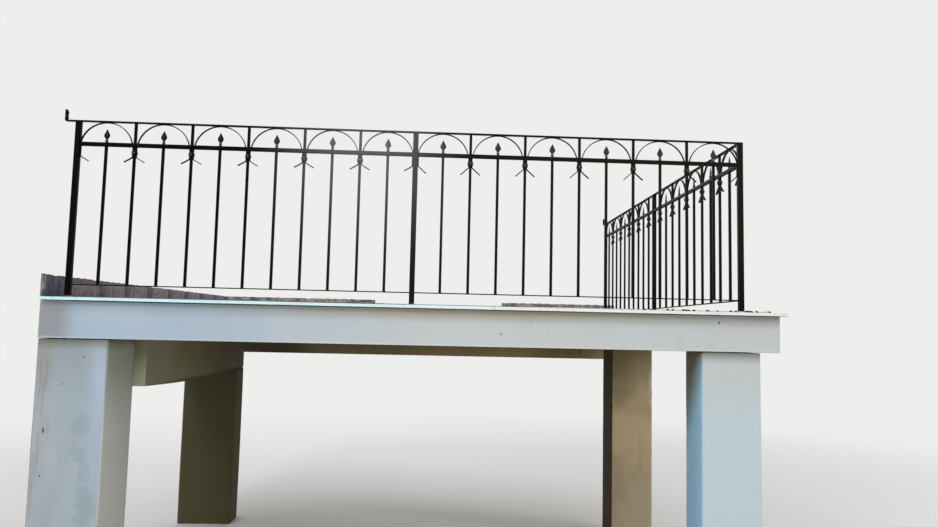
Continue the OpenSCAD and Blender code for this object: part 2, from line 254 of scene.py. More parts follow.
# name, place, size, watts
LAMPS = (
    ("front_lamp", (-4, -9, 7), 2.4, 250),
    ("right_lamp", (9, -3, 6), 2.4, 110),
    ("rear_lamp", (-3, 9, 7), 4, 150),
)
for lamp_name, place, size, watts in LAMPS:
    lamp = bpy.data.lights.new(lamp_name, "AREA")
    lamp.shape, lamp.size, lamp.energy = "DISK", size, watts
    holder = add(lamp_name, lamp)
    toward = Vector((0.0, 0.0, deck_top / 2)) - Vector(place)
    holder.location = place
    holder.rotation_mode = "QUATERNION"
    holder.rotation_quaternion = toward.to_track_quat("-Z", "Y")


# Front piers: brick cores under a hand-troweled lime and cement render, painted pale blue grey.
# They carry the two front corners of the deck, the left one with packing up to the slab. Their
# arrises are knocked here and there, damp has browned the left pier, and both are splashed.
LATTICE = 24
lattice = np.random.default_rng(1871).random((LATTICE, LATTICE, LATTICE))


def cloud(points, size):
    """Smooth noise 0 to 1: the eight random lattice values round a point, size metres apart,
    blended with the weights 3t^2 - 2t^3 of its place between them."""
    cell = np.asarray(points) / size + 10 * LATTICE
    base = np.floor(cell).astype(int)
    part = cell - base
    part = part * part * (3 - 2 * part)
    total = np.zeros(len(cell))
    for step in np.ndindex(2, 2, 2):
        weight = np.where(np.array(step, bool), part, 1 - part).prod(axis=1)
        total += weight * lattice[tuple(((base + step) % LATTICE).T)]
    return total


def ease(values, low, high):
    """0 up to low and 1 from high on, with the smooth rise 3t^2 - 2t^3 between them."""
    t = np.clip((np.asarray(values) - low) / (high - low), 0, 1)
    return t * t * (3 - 2 * t)


def points_at(*coordinates):
    """Array of points from their coordinates, where one number may stand for a whole column."""
    return np.stack(np.broadcast_arrays(*coordinates), -1)


def block(low, high, radius, cell):
    """Closed box with round edges. Each side is a grid of points q; p is q clamped to the box
    shrunk by the radius, and the surface is p + radius (q - p) / |q - p|."""
    low, high = np.array(low, float), np.array(high, float)
    lines = []
    for a, b in zip(low, high):
        inner = np.linspace(a + radius, b - radius, max(2, round((b - a) / cell)))
        lines.append(np.concatenate([[a], inner, [b]]))
    points, quads, start = [], [], 0
    for axis in range(3):
        u, v = (axis + 1) % 3, (axis + 2) % 3
        for value, order in ((high[axis], 1), (low[axis], -1)):
            side = np.empty((len(lines[u]), len(lines[v]), 3))
            side[..., axis], side[..., u], side[..., v] = value, lines[u][:, None], lines[v]
            index = start + np.arange(side[..., 0].size).reshape(side.shape[:2])
            ring = [index[:-1, :-1], index[1:, :-1], index[1:, 1:], index[:-1, 1:]]
            points.append(side.reshape(-1, 3))
            quads.append(np.stack(ring[::order], -1).reshape(-1, 4))
            start += index.size
    points = np.round(np.concatenate(points), 7)
    joined, back = np.unique(points, axis=0, return_inverse=True)
    core = np.clip(joined, low + radius, high - radius)
    outward = joined - core
    outward /= np.linalg.norm(outward, axis=1)[:, None]
    return core + radius * outward, [back.ravel()[np.concatenate(quads)]], outward


LONG_WAVE, SHORT_WAVE, CHIP_SIZE, CHIP_FROM, CHIP_FULL = 0.5, 0.13, 0.055, 0.7, 0.82
ROUNDED, UNDERSIDE, SHARP = 0.3, -0.6, math.radians(50)


def plastered(low, high, cell=0.03, radius=0.008, hollow=0.004, chip=0.006):
    """Masonry block under a hand-laid coat: the surface is pressed in by long clouds up to
    hollow deep, and its edges are chipped where a short cloud is high. The chips are marked."""
    points, faces, outward = block(low, high, radius, cell)
    on_edge = (np.abs(outward) > ROUNDED).sum(axis=1) > 1
    waves = hollow * (cloud(points, LONG_WAVE) + 0.3 * cloud(points, SHORT_WAVE))
    standing = outward[:, 2] > UNDERSIDE
    broken = on_edge * standing * ease(cloud(points, CHIP_SIZE), CHIP_FROM, CHIP_FULL)
    points = points - outward * (standing * (waves + chip * broken))[:, None]
    return points, faces, broken


def fit(name, parts, finish, slot, *nodes):
    """Joins parts (points, faces, marks) into one piece of the balcony. A part whose signed
    volume, the sum of a . (b x c) / 6 over its triangles, is negative is turned outwards."""
    points, faces, marks, start = [], [], [], 0
    for part in parts:
        where, rings = part[0], part[1]
        volume = 0.0
        for ring in rings:
            for k in range(1, ring.shape[1] - 1):
                a, b, c = where[ring[:, 0]], where[ring[:, k]], where[ring[:, k + 1]]
                volume += np.einsum("ij,ij->", a - where[0], np.cross(b - where[0], c - where[0]))
        for ring in rings:
            faces += ((ring if volume > 0 else ring[:, ::-1]) + start).tolist()
        points.append(where)
        marks.append(np.broadcast_to(part[2] if len(part) > 2 else 0.0, len(where)))
        start += len(where)
    mesh = bpy.data.meshes.new(name)
    mesh.from_pydata(np.concatenate(points).tolist(), [], faces)
    values = np.concatenate(marks).astype(np.float32)
    mesh.attributes.new("mark", "FLOAT", "POINT").data.foreach_set("value", values)
    mesh.polygons.foreach_set("use_smooth", [True] * len(faces))
    mesh.set_sharp_from_angle(angle=SHARP)
    mesh.materials.append(finish)
    piece = add(name, mesh)
    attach(piece, "root")
    if nodes:
        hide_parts(*nodes)


def bare_back(coat):
    """Leaves the coat off the faces that the house walls covered: grey concrete with pebbles,
    mortar smears and rougher relief."""
    x, y, z = coat.axes
    covered = x.by(cad_low.x, 1, 0.009) | y.by(cad_high.y, -1, 0.009)
    concrete = coat.mix((150, 147, 140), (118, 114, 107), coat.noise(5, 5))
    stones = coat.node("TexVoronoi", {"Vector": coat.place, "Scale": 52.0}, "Distance")
    pebbles = stones.step(0.42, 0.3)
    concrete = coat.mix(concrete, (160, 150, 134), pebbles * 0.55)
    smears = coat.noise(2.4, 6, (1, 1, 0.5)).step(0.52, 0.58)
    coat.lay(coat.mix(concrete, (176, 172, 163), smears * 0.7), covered)
    rough = pebbles * 0.5 + smears * 0.6 + coat.noise(70, 4)
    coat.relief = coat.relief * (1 - covered) + rough * covered


def render_coat(name):
    """Pale blue paint on troweled render: bluer to the left, clouded, with faint runs and
    sand-grain relief."""
    coat = material(name)
    coat.colour = coat.mix((172, 191, 208), (207, 211, 210), coat.axes[0].step(-1.8, 0.4))
    coat.lay((208, 214, 218), coat.noise(1.6, 5).step(0.45, 0.75) * 0.45)
    coat.lay((160, 170, 178), coat.noise(1, 4, (16, 16, 1.1)).step(0.56, 0.78) * 0.14)
    specks = coat.noise(70, 2).step(0.72, 0.78)
    coat.lay((140, 142, 138), specks * 0.3)
    coat.lay((160, 146, 124), (coat.mark() + coat.noise(90, 2) * 0.5).step(0.55, 0.8))
    trowel, grain = coat.noise(9, 2, (1, 1, 0.5)), coat.noise(420, 2)
    coat.relief = trowel * 0.8 + grain * 0.2 + coat.noise(45, 3) * 0.35 - specks * 0.3
    return coat


def on_left_pier(*spots):
    """Points (x, y, z, reach) on the front left pier, from places (out, up, reach) on its face."""
    return [(left_low.x + out, left_low.y, up, reach) for out, up, reach in spots]


left_low, left_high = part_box("front_left_pier")
right_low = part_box("front_right_pier")[0]
DAMP_SPOTS = on_left_pier(
    (0.262, 1.122, 0.05), (0.24, 0.99, 0.03), (0.266, 0.965, 0.034), (0.292, 0.905, 0.03),
    (0.285, 0.85, 0.032), (0.296, 0.77, 0.04), (0.304, 0.7, 0.06), (0.29, 0.64, 0.05),
)
STREAKS = on_left_pier(
    (0.03, 1.36, 0.011), (0.048, 1.26, 0.01), (0.06, 1.4, 0.008), (0.04, 0.98, 0.012),
    (0.086, 1.12, 0.007), (0.02, 0.8, 0.013),
)
PIER_KNOCKS = on_left_pier(
    (0.145, 1.34, 0.006), (0.251, 1.485, 0.007), (0.06, 0.86, 0.007), (0.107, 1.579, 0.007),
    (0.123, 1.578, 0.005), (0.144, 1.578, 0.006),
)
CRACK = on_left_pier((0.063, 1.096, 0.008))
pier = render_coat("pier_render")
x, y, z = pier.axes
by_wall = (x + pier.noise(3, 4) * 0.05).step(left_low.x + 0.14, left_low.x + 0.085)
seep = pier.noise(5, 4, (3, 3, 0.35)).step(0.1, 0.45)
pier.lay((178, 177, 178), by_wall * seep * 0.95)
left_half = x.step(0.5, -0.5)
pier.lay((170, 180, 186), left_half * (z.step(1.7, 0.6) * 0.35 + 0.45))
pier.lay((204, 221, 227), z.step(1.5, 1.1) * (1 - left_half) * 0.85)
grey_band = pier.noise(3, 5, (1.6, 1.6, 0.5)).step(0.5, 0.66)
pier.lay((160, 168, 174), grey_band * left_half * 0.45)
ragged = pier.noise(30, 3) * 0.08 - 0.044
pier.lay((134, 154, 166), pier.near(DAMP_SPOTS, (1, 0, 0.8), ragged) * 0.36)
wavy = pier.noise(24, 5) * 0.018 - 0.008
pier.lay((126, 118, 116), pier.near(STREAKS, (1, 0, 0.06), wavy) * 0.26)
# Painted light and shade on the left pier's inner side: warm bounce light, going olive and darker
# towards the deck.
inner_side = x.by(left_high.x, -1) * left_half
shaded_side_tone = pier.mix((204, 203, 194), (160, 161, 138), z.step(1.05, 1.5))
pier.lay(shaded_side_tone, inner_side * 0.85)
in_shade = x.by(right_low.x) * (1 - left_half)
depth = y - right_low.y
shade_tone = pier.mix((162, 202, 230), (138, 188, 218), depth.step(0, 0.16))
shade_tone = pier.mix(shade_tone, (84, 84, 62), (z + depth * 1.6).step(1.33, 1.75))
pier.lay(shade_tone, in_shade * 0.9)
# A grey band at the piers' heads under the beams: painted shadow, with some grime.
pier.lay((164, 166, 160), (z + pier.noise(12, 3) * 0.06).step(1.54, 1.62) * 0.35)
dim_left = x.step(left_low.x + 0.32, left_low.x + 0.22) * z.step(1.18, 1.5)
pier.lay((110, 96, 60), dim_left * 0.27)
skylit = x.step(left_low.x + 0.24, left_low.x + 0.33) * left_half
skylit = skylit * z.step(0.7, 0.9) * z.step(1.52, 1.38)
pier.lay((190, 220, 255), skylit * (1 - inner_side) * 0.21)
# Painted shade: olive darkening up to the piers' heads, where they meet the beams.
pier.lay((72, 70, 0), z.step(left_high.z - 0.077, left_high.z + 0.018) * 0.72)
pier.lay((138, 134, 124), (z + pier.noise(14, 4) * 0.35).step(0.36, 0.14) * 0.5)
knocks = pier.near(PIER_KNOCKS) | pier.near(CRACK, (1, 1, 0.35))
pier.lay((84, 82, 80), knocks * 0.85)
pier.relief = pier.relief - knocks * 0.8
bare_back(pier)
pier_paint = pier.close(0.82, 0.0025, 0.3)
TUCK, INSET = 0.006, 0.002
back_of_beam, slab_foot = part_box("front_beam")[1].y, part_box("deck_slab")[0].z
packing = plastered(
    (left_low.x + INSET, back_of_beam - TUCK, left_high.z - 2 * TUCK),
    (left_high.x - INSET, left_high.y + TUCK, slab_foot + TUCK),
)
for node, packed in (("front_left_pier", [packing]), ("front_right_pier", [])):
    blocks = [plastered(*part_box(node)), *packed]
    fit(node + "_render", blocks, pier_paint, "outer_plaster", node)


# Rear piers: the same build, but limewashed a warm ochre that shade, dust and damp have
# darkened towards the head. Flakes of paint are off the right one's outer arris.
wash = material("shade_limewash")
x, y, z = wash.axes
on_left, on_right = x.step(-1, -1.4), x.step(1, 1.4)
# Ochre to the right, olive and darker towards the left: the darker left is painted shade.
wash.colour = wash.mix((132, 128, 100), (202, 181, 144), x.step(-1.6, 1))
wash.lay((168, 160, 142), z.step(0.9, 0.1) * 0.5)
wash.lay((108, 94, 54), (z + wash.noise(2.5, 4) * 0.3).step(1.3, 1.78) * 0.8)
wash.lay((134, 116, 88), wash.noise(2.2, 5).step(0.5, 0.7) * 0.35)
wash.lay((116, 104, 80), wash.noise(1, 4, (16, 16, 1.5)).step(0.56, 0.78) * 0.25)
low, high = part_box("rear_right_pier")
frayed = wash.noise(48, 4) * 0.08 + (high.x - 0.07)
flakes = z.step(1.02, 1.1) * z.step(1.4, 1.3) * on_right * (x - frayed).step(0, 0.002)
chips = (wash.mark() + wash.noise(80, 2) * 0.5).step(0.5, 0.75) | flakes
wash.lay((200, 190, 166), chips)
wash.relief = wash.noise(8, 3) * 0.8 + wash.noise(50, 3) * 0.4
wash.relief = wash.relief + wash.noise(380, 2) * 0.2 - chips * 0.6
# Painted shade: the right rear pier's inner side face, dark brown.
shaded_inner_face = x.by(low.x) * on_right * y.step(high.y + 0.05, high.y) * z.step(high.z + 0.02, high.z)
wash.lay((54, 38, 18), shaded_inner_face * 0.97)
# Painted shade: olive darkening on the right rear pier's front, by its inner edge and upwards.
shade_by_inner_edge = x.step(low.x + 0.28, low.x + 0.04) * z.step(0.95, 1.2) * x.step(1, 1.2)
wash.lay((44, 44, 0), shade_by_inner_edge * 0.32)
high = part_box("rear_left_pier")[1]
# Painted shade: the rear left pier darkened, all but its rear face.
shaded_rear_left_pier = on_left * z.step(high.z + 0.02, high.z - 0.02)
wash.lay((66, 62, 36), shaded_rear_left_pier * y.step(high.y - 0.004, high.y - 0.012) * 0.88)
low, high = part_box("left_beam")
beam_side = on_left * z.step(low.z - 0.01, low.z + 0.01) * y.step(low.y + 0.002, low.y + 0.012)
# Painted light towards the open front on the left beam's side, and painted shade deeper in.
wash.lay((176, 186, 164), beam_side * y.step(-0.5, -1.45) * 0.27)
wash.lay((48, 44, 36), beam_side * y.step(-0.8, 0.4) * 0.62)
front_end = on_left * y.by(low.y, 1, 0.012) * z.step(high.z + 0.004, high.z - 0.004)
# Painted light: the left beam's front end is paler than its side, most towards its foot.
lit_front_end_tone = wash.mix((150, 146, 116), (198, 198, 170), z.step(1.54, 1.33))
wash.lay(lit_front_end_tone, front_end * 0.9)
bare_back(wash)
shade_wash = wash.close(0.9, 0.003, 0.25)
for node in ("rear_right_pier", "rear_left_pier"):
    core = plastered(*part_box(node), cell=0.025, chip=0.007)
    fit(node + "_render", [core], shade_wash, "shaded_plaster", node)


# Edge beams: reinforced concrete along the front and the open right end, rendered flush and
# painted with the piers. Under the drip runs a band of grime and painted shadow, topped by a
# painted shadow line, and the lower arris keeps a paler line.
fascia_low, fascia_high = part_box("front_beam")
FASCIA_NICKS = (
    (1.658, 1.742, 0.009), (0.44, 1.655, 0.007), (1.66, 1.748, 0.006), (-1.9, 1.584, 0.006),
    (0.157, 1.736, 0.004), (-0.656, 1.707, 0.004), (-1.3, 1.66, 0.004),
)
fascia = render_coat("fascia_render")
x, y, z = fascia.axes
drips = fascia.noise(1, 5, (30, 30, 2))
# Under the drip: a band of grime and painted shadow.
grime_and_drip_shadow = (z + drips * 0.016).step(fascia_high.z - 0.095, fascia_high.z - 0.02)
rightward = x.step(-1.6, 0)
grime_and_shadow_tone = fascia.mix((118, 116, 114), (162, 149, 122), rightward)
grime_and_shadow_tone = fascia.mix(grime_and_shadow_tone, (158, 152, 138), x.step(0.6, 1.6))
fascia.lay(grime_and_shadow_tone, grime_and_drip_shadow * (rightward * 0.5 + 0.3))
# A dark line right under the drip: painted shadow, with some dirt.
drip_shadow_line = (z + drips * 0.002).step(fascia_high.z - 0.0215, fascia_high.z - 0.0185)
fascia.lay((44, 46, 42), drip_shadow_line * (0.94 - rightward * 0.3))
# Greyer towards the fascia's left end.
greyer_left_end = (x + drips * 0.03).step(fascia_low.x + 0.23, fascia_low.x + 0.11)
fascia.lay((150, 151, 154), greyer_left_end * 0.85)
fascia.lay((156, 160, 160), drips.step(0.62, 0.74) * z.step(1.6, 1.78) * 0.18)
# Paler along the lower arris.
pale = fascia.mix((184, 204, 218), (222, 222, 212), rightward)
fascia.lay(pale, z.step(fascia_low.z + 0.016, fascia_low.z + 0.006) * 0.6)
inner = y.step(fascia_high.y - 0.012, fascia_high.y - 0.004)
# Undersides and the inner face: dark ochre, the undercroft's paint darkened as painted shade.
fascia.lay((112, 98, 74), fascia.upward().step(-0.6, -0.9) | (inner * x.by(right_low.x)))
nicks = fascia.near([(x, fascia_low.y, z, reach) for x, z, reach in FASCIA_NICKS])
fascia.lay((92, 92, 90), nicks * 0.85)
fascia.relief = fascia.relief - nicks * 0.8
bare_back(fascia)
fascia_paint = fascia.close(0.8, 0.0025, 0.3)
for node in ("front_beam", "right_beam"):
    beam = plastered(*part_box(node), cell=0.028, radius=0.006, chip=0.004)
    fit(node + "_render", [beam], fascia_paint, "outer_plaster", node)


# Inner beams: the deep left beam springs from the front left pier to the rear one, and its
# hand-plastered soffit hangs lower between them. The rear beam carries the slab at the house.
low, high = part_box("left_beam")
pier_low, pier_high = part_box("rear_left_pier")
beam_foot = pier_high.z
points, faces, marks = plastered((low.x, low.y, beam_foot), high, chip=0.005)
along_beam = np.clip((points[:, 1] - low.y) / (pier_low.y - low.y), 0, 1)
down = np.clip((high.z - points[:, 2]) / (high.z - beam_foot), 0, 1)
points[:, 2] -= (beam_foot - low.z) * np.sin(np.pi * along_beam) * down
fit("left_beam_render", [(points, faces, marks)], shade_wash, "shaded_plaster", "left_beam")
low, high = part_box("rear_beam")
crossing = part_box("right_beam")[0]
main = plastered(low, (crossing.x, high.y, high.z), chip=0.004)
below = plastered((crossing.x, low.y, low.z), (high.x, high.y, crossing.z), chip=0.004)
fit("rear_beam_render", [main, below], shade_wash, "shaded_plaster", "rear_beam")


# Deck slab: concrete cast on boards between the beams and limewashed from below.
slab = plastered(*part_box("deck_slab"), cell=0.07, radius=0.004, hollow=0.003, chip=0)
fit("deck_slab_concrete", [slab], shade_wash, "shaded_plaster", "deck_slab")


# Paving: rustic brown ceramic tiles a foot square, bedded with open joints that are pointed
# a little low, and a rough fillet of mortar that closes their edge on the flashing.
paving_low, paving_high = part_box("deck_tiles")
TILE, JOINT, SMALLEST_TILE = 0.303, 0.005, 0.04
TILE_EDGE, TILE_UNEVEN, JOINT_DROP, JOINT_EDGE = 0.0015, 0.0007, 0.002, 0.001
tile_rng = np.random.default_rng(55)


def tile_lines(low, high):
    """Starts and ends of the tiles in one direction, the last one cut to fit."""
    return [(s, min(s + TILE, high)) for s in np.arange(low, high - SMALLEST_TILE, TILE + JOINT)]


tiles = []
for x_from, x_to in tile_lines(paving_low.x, paving_high.x):
    for y_from, y_to in tile_lines(paving_low.y, paving_high.y):
        top = paving_high.z - tile_rng.uniform(0, TILE_UNEVEN)
        points, faces, _ = block((x_from, y_from, paving_low.z), (x_to, y_to, top), TILE_EDGE, 1.0)
        tiles.append((points, faces, tile_rng.random()))
tile = material("rustic_tile")
tile.colour = tile.mix((124, 92, 74), (98, 84, 76), tile.mark())
tile.lay((146, 116, 94), tile.noise(14, 5).step(0.5, 0.7) * 0.6)
tile.lay((66, 56, 52), tile.noise(40, 4).step(0.56, 0.7) * 0.6)
dusty = tile.noise(3, 5).step(0.42, 0.66)
tile.lay((158, 148, 136), dusty * 0.35)
tile.relief = tile.noise(26, 4) + tile.noise(180, 2) * 0.2
fit("deck_paving_tiles", tiles, tile.close(dusty * 0.25 + 0.42, 0.0016), "deck_tiles", "deck_tiles")

mortar = material("grey_mortar")
mortar.colour = mortar.mix((122, 116, 108), (88, 84, 78), mortar.noise(30, 4))
mortar.lay((40, 38, 36), mortar.noise(90, 3).step(0.5, 0.62) * 0.8)
mortar.lay((198, 196, 187), mortar.mark().step(0, -1) * 0.9)
mortar.lay((30, 31, 30), mortar.mark().step(0.2, 0.8) * 0.9)
mortar.relief = mortar.noise(160, 4)
mortar_paint = mortar.close(0.95, 0.002, 0.2)
joint_top = (paving_high.x, paving_high.y, paving_high.z - JOINT_DROP)
bed = block(paving_low, joint_top, JOINT_EDGE, 0.4)
fit("deck_tile_joints", [bed[:2]], mortar_paint, "deck_tiles", "deck_tiles")


def carry(section, path, across, up):
    """Profile carried along a path: point (i, j) is path i + a j * across i + b j * up i, where
    the profile (a, b) may also change with i. The profile closes both ends."""
    path = np.asarray(path, float)
    section = np.broadcast_to(section, (len(path), *np.shape(section)[-2:]))
    across, up = (np.broadcast_to(way, path.shape)[:, None] for way in (across, up))
    points = path[:, None] + section[..., :1] * across + section[..., 1:] * up
    index = np.arange(points[..., 0].size).reshape(section.shape[:2])
    beside = np.roll(index, -1, axis=1)
    quads = np.stack([index[:-1], beside[:-1], beside[1:], index[1:]], -1).reshape(-1, 4)
    return points.reshape(-1, 3), [quads, np.stack([index[0][::-1], index[-1]])]


X, Y, Z = np.eye(3)
FILLET_W, FILLET_H, FILLET_SUNK, FILLET_ROWS = 0.02, 0.006, 0.001, 1100
half_turn = np.linspace(0, np.pi, 9)
crest = points_at(np.cos(half_turn) * FILLET_W / 2, np.sin(half_turn) * FILLET_H)
bead_x, bead_y = paving_high.x + FILLET_W / 3, paving_low.y - FILLET_W / 3
bead_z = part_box("front_flashing")[1].z - FILLET_SUNK
front_bead = points_at(np.linspace(paving_low.x, bead_x, FILLET_ROWS), bead_y, bead_z)
right_bead = points_at(bead_x, np.linspace(bead_y, paving_high.y, FILLET_ROWS), bead_z)
beads = []
for path, across in ((front_bead, Y), (right_bead, X)):
    pale = ease(path[:, 0], 0.2, 0.9)
    dashes = ease(cloud(path, 0.015), 0.48, 0.54) * ease(path[:, 0], 1.1, 1.3)
    ragged = 0.35 + 0.3 * cloud(path, 0.03) + 0.75 * pale + 0.8 * dashes
    spread = 0.8 + 0.4 * cloud(path, 0.045)
    points, faces = carry(crest[None] * points_at(spread, ragged)[:, None], path, across, Z)
    beads.append((points, faces, np.repeat(2 * dashes - pale, len(crest))))
fit("tile_edge_mortar", beads, mortar_paint, "deck_tiles")


# Skirting: pieces of split brown slate and narrower blue-grey ones, set upright in mortar
# along the two house walls, with a gap at the rear where a doorway comes through.
stone_rng = np.random.default_rng(9)
WIDE_STONE, NARROW_STONE, LAST_STONE, STONE_GAP = 0.31, 0.1, 0.02, 0.003
STONE_BACK, STONE_EDGE, SPLIT, TOP_STEP = 0.005, 0.002, 0.0016, 0.0025
MORTAR_FACE, MORTAR_EDGE, MORTAR_WAVE, MORTAR_FRAY, FRAY_REACH = 0.0105, 0.0015, 0.002, 0.009, 0.03
LENGTHS_VARY, FACES_VARY = (0.93, 1.1), (0.86, 1.0)
GAP_AT = (0.0, 0.16, 0.3, 1.6)
LEFT_GAPS, REAR_GAPS = (0.007, 0.012, 0.045, 0.006), (0.006, 0.006, 0.006, 0.006)
LEFT_CUTS = (0.0, 0.036, 0.165, 0.285, 0.715, 0.809, 1.111, 1.206, 1.519, 1.638)


def slates(start, end, thickness, heights, gaps, cuts, pale, place):
    """Upright stones from start to end along a wall: the given cuts first, then narrow and wide
    ones by turns. The mortar behind them rises evenly between two heights, and shows over their
    tops by the given gaps at the distances GAP_AT from the start."""
    cuts = [start + cut for cut in cuts]
    while cuts[-1] < end - LAST_STONE:
        usual = NARROW_STONE if len(cuts) % 2 else WIDE_STONE
        cuts.append(min(cuts[-1] + usual * stone_rng.uniform(*LENGTHS_VARY), end))
    stones = []
    for k, (at, stop) in enumerate(zip(cuts[:-1], cuts[1:])):
        face = thickness * stone_rng.uniform(*FACES_VARY)
        centre = (at + stop) / 2
        top = np.interp(centre, (start, end), heights)
        top -= np.interp(centre - start, GAP_AT, gaps) - TOP_STEP * stone_rng.uniform(-1, 1)
        far_corner = (stop - STONE_GAP, face, top)
        points, faces, outward = block((at, STONE_BACK, 0.0), far_corner, STONE_EDGE, 0.03)
        points = points - outward * (cloud(points * (1, 1, 0.5), 0.02) * SPLIT)[:, None]
        grey = k % 2 == 0 or k == 1
        tint = stone_rng.uniform(0.0, 0.3) + (1.5 if pale or k == 0 else 0.7 * grey)
        stones.append((place(points), faces, tint))
    tallest = max(heights)
    points, faces, outward = block((start, 0, 0), (end, MORTAR_FACE, tallest), MORTAR_EDGE, 0.014)
    points = points - outward * (cloud(points, 0.03) * MORTAR_WAVE)[:, None]
    edge = ease(points[:, 2], tallest - FRAY_REACH, tallest)
    ragged = MORTAR_FRAY * cloud(points * (1, 0.3, 0.2), 0.021) * edge
    over = tallest - np.interp(points[:, 0], (start, end), heights)
    points[:, 2] -= over * points[:, 2] / tallest + ragged
    return stones, [(place(points), faces)]


def placing(origin, along, out):
    """Way to set points (a, o, u) of a run into the frame: origin + a along + o out + u Z."""
    return lambda points: origin + points @ np.stack([along, out, Z])


slate = material("split_slate")
kind = slate.mark().step(0.45, 0.65)
veins = slate.noise(2, 5, (22, 22, 3.5))
veined = veins.step(0.3, 0.7)
warm = slate.mix((108, 92, 100), (158, 145, 153), veined)
slate.colour = slate.mix(warm, slate.mix((62, 64, 82), (98, 98, 116), veined), kind)
beige = slate.mix((150, 142, 138), (182, 172, 166), veined)
dark_patch = slate.noise(7, 4, (1, 1, 2)).step(0.5, 0.6)
slate.lay(slate.mix(beige, (72, 70, 76), dark_patch * 0.8), slate.mark().step(1.15, 1.35))
blotch = slate.noise(34, 4)
slate.lay((58, 48, 56), blotch.step(0.5, 0.38) * 0.55)
slate.lay((168, 128, 112), blotch.step(0.56, 0.7) * (1 - kind) * 0.6)
slate.lay((160, 154, 146), slate.noise(60, 3).step(0.62, 0.72) * 0.4)
slate.relief = veins + slate.noise(120, 3) * 0.3
slate_face = slate.close(veins * 0.3 + 0.45, 0.002)
bedding = material("beige_bedding_mortar")
bedding.colour = bedding.mix((146, 138, 137), (116, 109, 109), bedding.noise(26, 5))
bedding.lay((82, 68, 66), bedding.noise(42, 4).step(0.54, 0.66) * 0.65)
bedding.relief = bedding.noise(150, 4)
bedding_paint = bedding.close(0.95, 0.002, 0.2)

FRONT_RISE, DOOR_FROM, DOOR_W, TOE = 0.119, 1.52, 1.3, 0.004
rear_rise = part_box("rear_skirting")[1].z - deck_top
low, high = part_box("left_skirting")
on_left_wall = placing((low.x, 0.0, deck_top), Y, X)
built = high.x - low.x, (FRONT_RISE, rear_rise), LEFT_GAPS, LEFT_CUTS, False, on_left_wall
stones, backs = slates(low.y, high.y, *built)
for points, *_ in stones[:2] + backs:
    in_front = (points[:, 1] < paving_low.y) & (points[:, 2] < deck_top + TOE)
    points[:, 2] += (low.z - deck_top) * in_front
fit("left_skirting_slates", stones, slate_face, "stone_skirting", "left_skirting")
fit("left_skirting_mortar", backs, bedding_paint, "stone_skirting", "left_skirting")

low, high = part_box("rear_skirting")
door = cad_low.x + DOOR_FROM
on_rear_wall = placing((0.0, high.y, low.z), X, -Y)
built = high.y - low.y, (rear_rise, rear_rise), REAR_GAPS, (0.0,), True, on_rear_wall
stones, backs = slates(low.x, door, *built)
more_stones, more_backs = slates(door + DOOR_W, high.x, *built)
fit("rear_skirting_slates", stones + more_stones, slate_face, "stone_skirting", "rear_skirting")
fit("rear_skirting_mortar", backs + more_backs, bedding_paint, "stone_skirting", "rear_skirting")


# Flashing: pale painted sheet folded over the deck's open edges, a flange on the slab and a
# drip edge with a kicked-out lip. It comes in four lengths that lap at riveted joints, wraps
# the corner, and is dented a little by ladders and feet.
face_x, face_y = fascia_high.x, fascia_low.y
drip_foot, drip_top = (edge.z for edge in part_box("front_flashing"))
corner_at = face_x - cad_low.x
edge_end = corner_at + (cad_high.y - face_y)
SHEET_T, FLANGE_W, DRIP_OUT, LIP_OUT, LIP_H = 0.0014, 0.05, 0.03, 0.003, 0.006
FOLD, FOLD_MID, SHEET_STEP, FIRST = 0.003, 0.0008, 0.04, 0.008
LAP_STEP, LAP, DENT, DENT_SIZE = 0.0012, 0.04, 0.0012, 0.23
JOINTS = (1.96, corner_at + 0.26, corner_at + 2.26)
RIVET_R, RIVET_H, RIVET_CROWN, NAIL_R, NAIL_H = 0.0032, 0.0014, 0.0004, 0.005, 0.0018
NAIL_FROM, NAIL_PITCH, NAIL_IN, RIVET_IN = 0.15, 0.35, 0.018, 0.01
FACE_SUNK, RIVET_SUNK, NAIL_SUNK = 0.0006, 0.0005, 0.0007


def drip_profile(inset):
    """Section of the sheet, out from the masonry face and up: flange, fold, drip face, lip."""
    out, foot, top = DRIP_OUT - inset, drip_foot, drip_top - inset
    skin = [(-FLANGE_W, top), (0.0, top), (out - FOLD, top), (out - FOLD_MID, top - FOLD_MID)]
    skin += [(out, top - FOLD), (out, (drip_top + foot) / 2), (out, foot + LIP_H)]
    skin.append((out + LIP_OUT, foot))
    back = [(a - SHEET_T * (b < drip_top - 0.002), max(b - SHEET_T, foot)) for a, b in skin]
    return np.array(skin + back[::-1])


def sheet_path(start, end):
    """Stations from start to end metres along the edge, which turns at the corner, and the
    direction outwards there: diagonal at the corner itself, so that the sheet is mitred."""
    stations = np.linspace(start, end, max(2, int((end - start) / SHEET_STEP)))
    if start < corner_at < end:
        stations = np.sort(np.append(stations, corner_at))
    x = cad_low.x + np.minimum(stations, corner_at)
    y = face_y + np.maximum(stations - corner_at, 0)
    out = points_at(stations >= corner_at, -1.0 * (stations <= corner_at), 0.0)
    return points_at(x, y, 0.0), out


sheets, rivets = [], []
starts, ends = (FIRST, *JOINTS), (*(joint + LAP for joint in JOINTS), edge_end)
for start, end, under in zip(starts, ends, (1, 0, 1, 0)):
    path, out = sheet_path(start, end)
    profile = np.repeat(drip_profile(LAP_STEP * under)[None], len(path), axis=0)
    push = DENT * cloud(path, DENT_SIZE)[:, None] * (profile[..., 0] > 0.02)
    profile[..., 0] -= push
    profile[..., 1] += 0.6 * push * (profile[..., 1] < drip_top - 0.008)
    sheets.append(carry(profile, path, out, Z))


